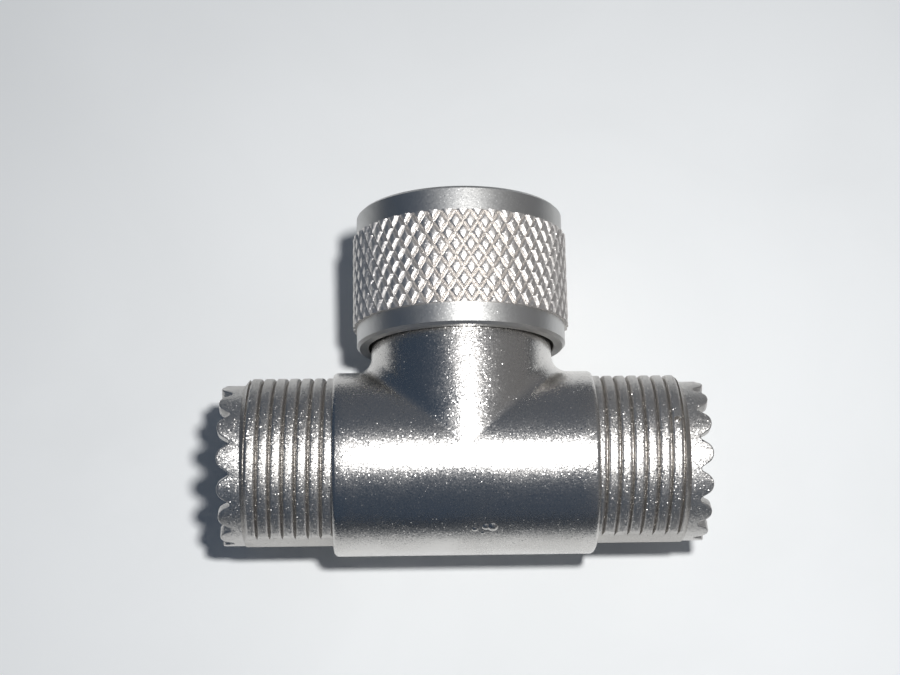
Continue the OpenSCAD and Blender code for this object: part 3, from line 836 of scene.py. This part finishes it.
# One knurl diamond: flanks that curve into a rounded top, its base sunk in the nut
def diamond(halfAngle, halfHeight):
    floor = nut["knurlRadius"] - nut["knurlDepth"]
    levels = [(floor + nut["knurlDepth"] * height, share) for height, share in nut["diamondLevels"]]
    levels.insert(0, (floor - nut["diamondSink"], levels[0][1]))
    points, faces = [], []
    for radius, share in levels:
        for across, up in ((-1, 0), (0, -1), (1, 0), (0, 1)):
            angle = across * halfAngle * share
            points.append((radius * math.cos(angle), radius * math.sin(angle), up * halfHeight * share))
    for low in range(0, 4 * (len(levels) - 1), 4):
        for corner in range(4):
            after = (corner + 1) % 4
            faces.append((low + corner, low + after, low + 4 + after, low + 4 + corner))
    faces.append((3, 2, 1, 0))
    faces.append(tuple(range(len(points) - 4, len(points))))
    return tidied(meshPiece("oneDiamond", points, faces))


def couplingNutPiece():
    size = nut
    bevel, edge = size["bevel"], size["faceEdge"]
    rootRadius = size["crestRadius"] + size["threadDepth"]
    bandRadius = size["knurlRadius"] - size["knurlDepth"]
    piece = turned("couplingNut", [
        (size["rearBore"] + edge, size["rear"]), (size["rimRadius"] - bevel, size["rear"]),
        (size["rimRadius"], size["rear"] + bevel), (size["rimRadius"], size["knurlStart"]),
        (bandRadius, size["knurlStart"]), (bandRadius, size["knurlEnd"]),
        (size["rimRadius"], size["knurlEnd"]), (size["rimRadius"], size["front"] - bevel),
        (size["rimRadius"] - bevel, size["front"]), (rootRadius + edge, size["front"]),
        (rootRadius, size["front"] - edge), (rootRadius, size["step"] + size["lip"] + size["threadDepth"]),
        (size["crestRadius"], size["step"] + size["lip"]), (size["crestRadius"], size["step"]),
        (size["rearBore"], size["step"]), (size["rearBore"], size["grooveEnd"]),
        (size["grooveRadius"], size["grooveEnd"]), (size["grooveRadius"], size["grooveStart"]),
        (size["rearBore"], size["grooveStart"]), (size["rearBore"], size["rear"] + edge),
    ], size["columns"], Matrix())
    threadLength = size["front"] - size["step"] - size["threadShort"]
    ridge = helicalRidge("nutThread", size, rootRadius, threadLength, -1.0, turnedNickel)
    ridge.data.transform(Matrix.Translation((0, 0, size["step"] + size["threadStart"])))
    combined(piece, "UNION", tidied(ridge))
    countersink = turned("countersink", [
        (0, size["front"] - size["threadDepth"]), (size["crestRadius"], size["front"] - size["threadDepth"]),
        (size["crestRadius"] + 2 * size["threadDepth"], size["front"] + size["threadDepth"]),
        (0, size["front"] + size["threadDepth"]),
    ], size["columns"], Matrix())
    combined(piece, "DIFFERENCE", countersink)
    rowStep = (size["knurlEnd"] - size["knurlStart"]) / size["diamondRows"]
    one = diamond(math.pi / size["diamondsAround"], rowStep)
    knurl = patterned("knurl", one, turnedNickel, size["diamondsAround"], math.pi / 2,
                      size["diamondRows"] + 1, rowStep, 0.5)
    knurl.data.transform(Matrix.Translation((0, 0, size["knurlStart"])))
    inside, outside = bandRadius - size["knurlLap"], size["knurlRadius"] + size["knurlClear"]
    sleeve = turned("sleeve", [
        (inside, size["knurlStart"]), (outside, size["knurlStart"]),
        (outside, size["knurlEnd"]), (inside, size["knurlEnd"]),
    ], size["columns"], Matrix())
    combined(knurl, "INTERSECT", sleeve)
    combined(piece, "UNION", knurl)
    piece.data.transform(alongStem)
    return piece


couplingNut = couplingNutPiece()
finished(couplingNut, turnedNickel, "nut", "coupling_nut", nut["sharpAngle"])

# Inner pieces keep their solids and get their finish
finishes = {
    springSteel: ["snap_ring"],
    insulation: ["left_insulator", "right_insulator", "plug_insulator"],
    silverPlate: ["left_socket_contact", "right_socket_contact", "plug_pin"],
    bareBrass: ["junction_block"],
}
for material, names in finishes.items():
    for name in names:
        node = frame["nodes"][name]
        node.data.materials.clear()
        node.data.materials.append(material)
print("inner pieces finished")


# Pale paper, soft light near the lens, camera at the photo's angle

stage = {
    "floorSize": 1.2, "paper": (0.87, 0.88, 0.875), "paperDim": (0.83, 0.84, 0.835), "paperRoughness": 0.85,
    "paperMarkScale": 30, "paperMarkLow": 0.3, "paperMarkHigh": 0.75,
    # paper colour that glossy rays see away from the adapter: a painted dark reflection
    "paperReflectedShade": (0.06, 0.07, 0.085), "paperNearEnd": 0.026, "paperFarStart": 0.051,
    "reflectedShadeAcross": 0.6, "reflectedShadeBehind": 0.35,
    "darkSide": (0.040, 0.061, 0.096), "lightSide": (0.205, 0.205, 0.21),
    "skyLean": 0.22, "skyStart": -0.45, "skyEnd": 1.1,
    "keyPower": 0.245, "keySize": 0.014, "keyRight": 0.023, "keyUp": 0.0275,
}
cameraView = {
    "place": (-0.00541, -0.05115, 0.14911),
    "turn": (21.2705, -1.3920, -1.0888),
    "lens": 65.774, "sensor": 36, "clipStart": 0.005,
}


def paperMaterial():
    material = bpy.data.materials.new("paper")
    material.use_nodes = True
    tree = material.node_tree
    shader = tree.nodes["Principled BSDF"]
    place = added(tree, "ShaderNodeTexCoord").outputs["Object"]
    marks = groupNode(tree, handling, {
        "Vector": place, "Scale": stage["paperMarkScale"], "Low": stage["paperMarkLow"],
        "High": stage["paperMarkHigh"],
    })["Mask"]
    tone = colourMix(tree, marks, stage["paper"], stage["paperDim"])
    # Painted dark reflection: glossy rays see the paper darken with distance from the adapter, while camera
    # rays see the pale floor go on
    spot = added(tree, "ShaderNodeSeparateXYZ")
    linked(tree, place, spot.inputs[0])
    across = mathNode(tree, "MULTIPLY", spot.outputs["X"], stage["reflectedShadeAcross"])
    behind = mathNode(tree, "MULTIPLY", spot.outputs["Y"], stage["reflectedShadeBehind"])
    depth = mathNode(tree, "MAXIMUM", behind, mathNode(tree, "MULTIPLY", spot.outputs["Y"], -1.0))
    reflectedShadeMask = rangeNode(tree, radiusOf(tree, across, depth), stage["paperNearEnd"], stage["paperFarStart"])
    glossy = added(tree, "ShaderNodeLightPath").outputs["Is Glossy Ray"]
    seen = colourMix(tree, mathNode(tree, "MULTIPLY", reflectedShadeMask, glossy), tone, stage["paperReflectedShade"])
    linked(tree, seen, shader.inputs["Base Color"])
    shader.inputs["Roughness"].default_value = stage["paperRoughness"]
    return material


half = stage["floorSize"] / 2
floorCorners = [(-half, -half, 0), (half, -half, 0), (half, half, 0), (-half, half, 0)]
floor = meshPiece("floor", floorCorners, [(0, 1, 2, 3)])
floor.data.materials.append(paperMaterial())

camera = bpy.data.objects.new("camera", bpy.data.cameras.new("camera"))
camera.location = cameraView["place"]
camera.rotation_euler = [math.radians(angle) for angle in cameraView["turn"]]
camera.data.lens = cameraView["lens"]
camera.data.sensor_width = cameraView["sensor"]
camera.data.clip_start = cameraView["clipStart"]
bpy.context.scene.collection.objects.link(camera)
bpy.context.scene.camera = camera

key = bpy.data.objects.new("key", bpy.data.lights.new("key", "AREA"))
key.data.shape = "DISK"
key.data.size = stage["keySize"]
key.data.energy = stage["keyPower"]
bpy.context.view_layer.update()
key.matrix_world = camera.matrix_world @ Matrix.Translation((stage["keyRight"], stage["keyUp"], 0))
bpy.context.scene.collection.objects.link(key)

world = bpy.data.worlds.new("studio")
world.use_nodes = True
bpy.context.scene.world = world
sky = world.node_tree
direction = added(sky, "ShaderNodeTexCoord").outputs["Generated"]
split = added(sky, "ShaderNodeSeparateXYZ")
linked(sky, direction, split.inputs[0])
lean = mathNode(sky, "MULTIPLY", split.outputs["Y"], stage["skyLean"])
leftToRight = mathNode(sky, "ADD", split.outputs["X"], lean)
side = rangeNode(sky, leftToRight, stage["skyStart"], stage["skyEnd"])
shade = colourMix(sky, side, stage["darkSide"], stage["lightSide"])
linked(sky, shade, sky.nodes["Background"].inputs["Color"])
bpy.context.scene.view_settings.view_transform = "Standard"
print("stage set")
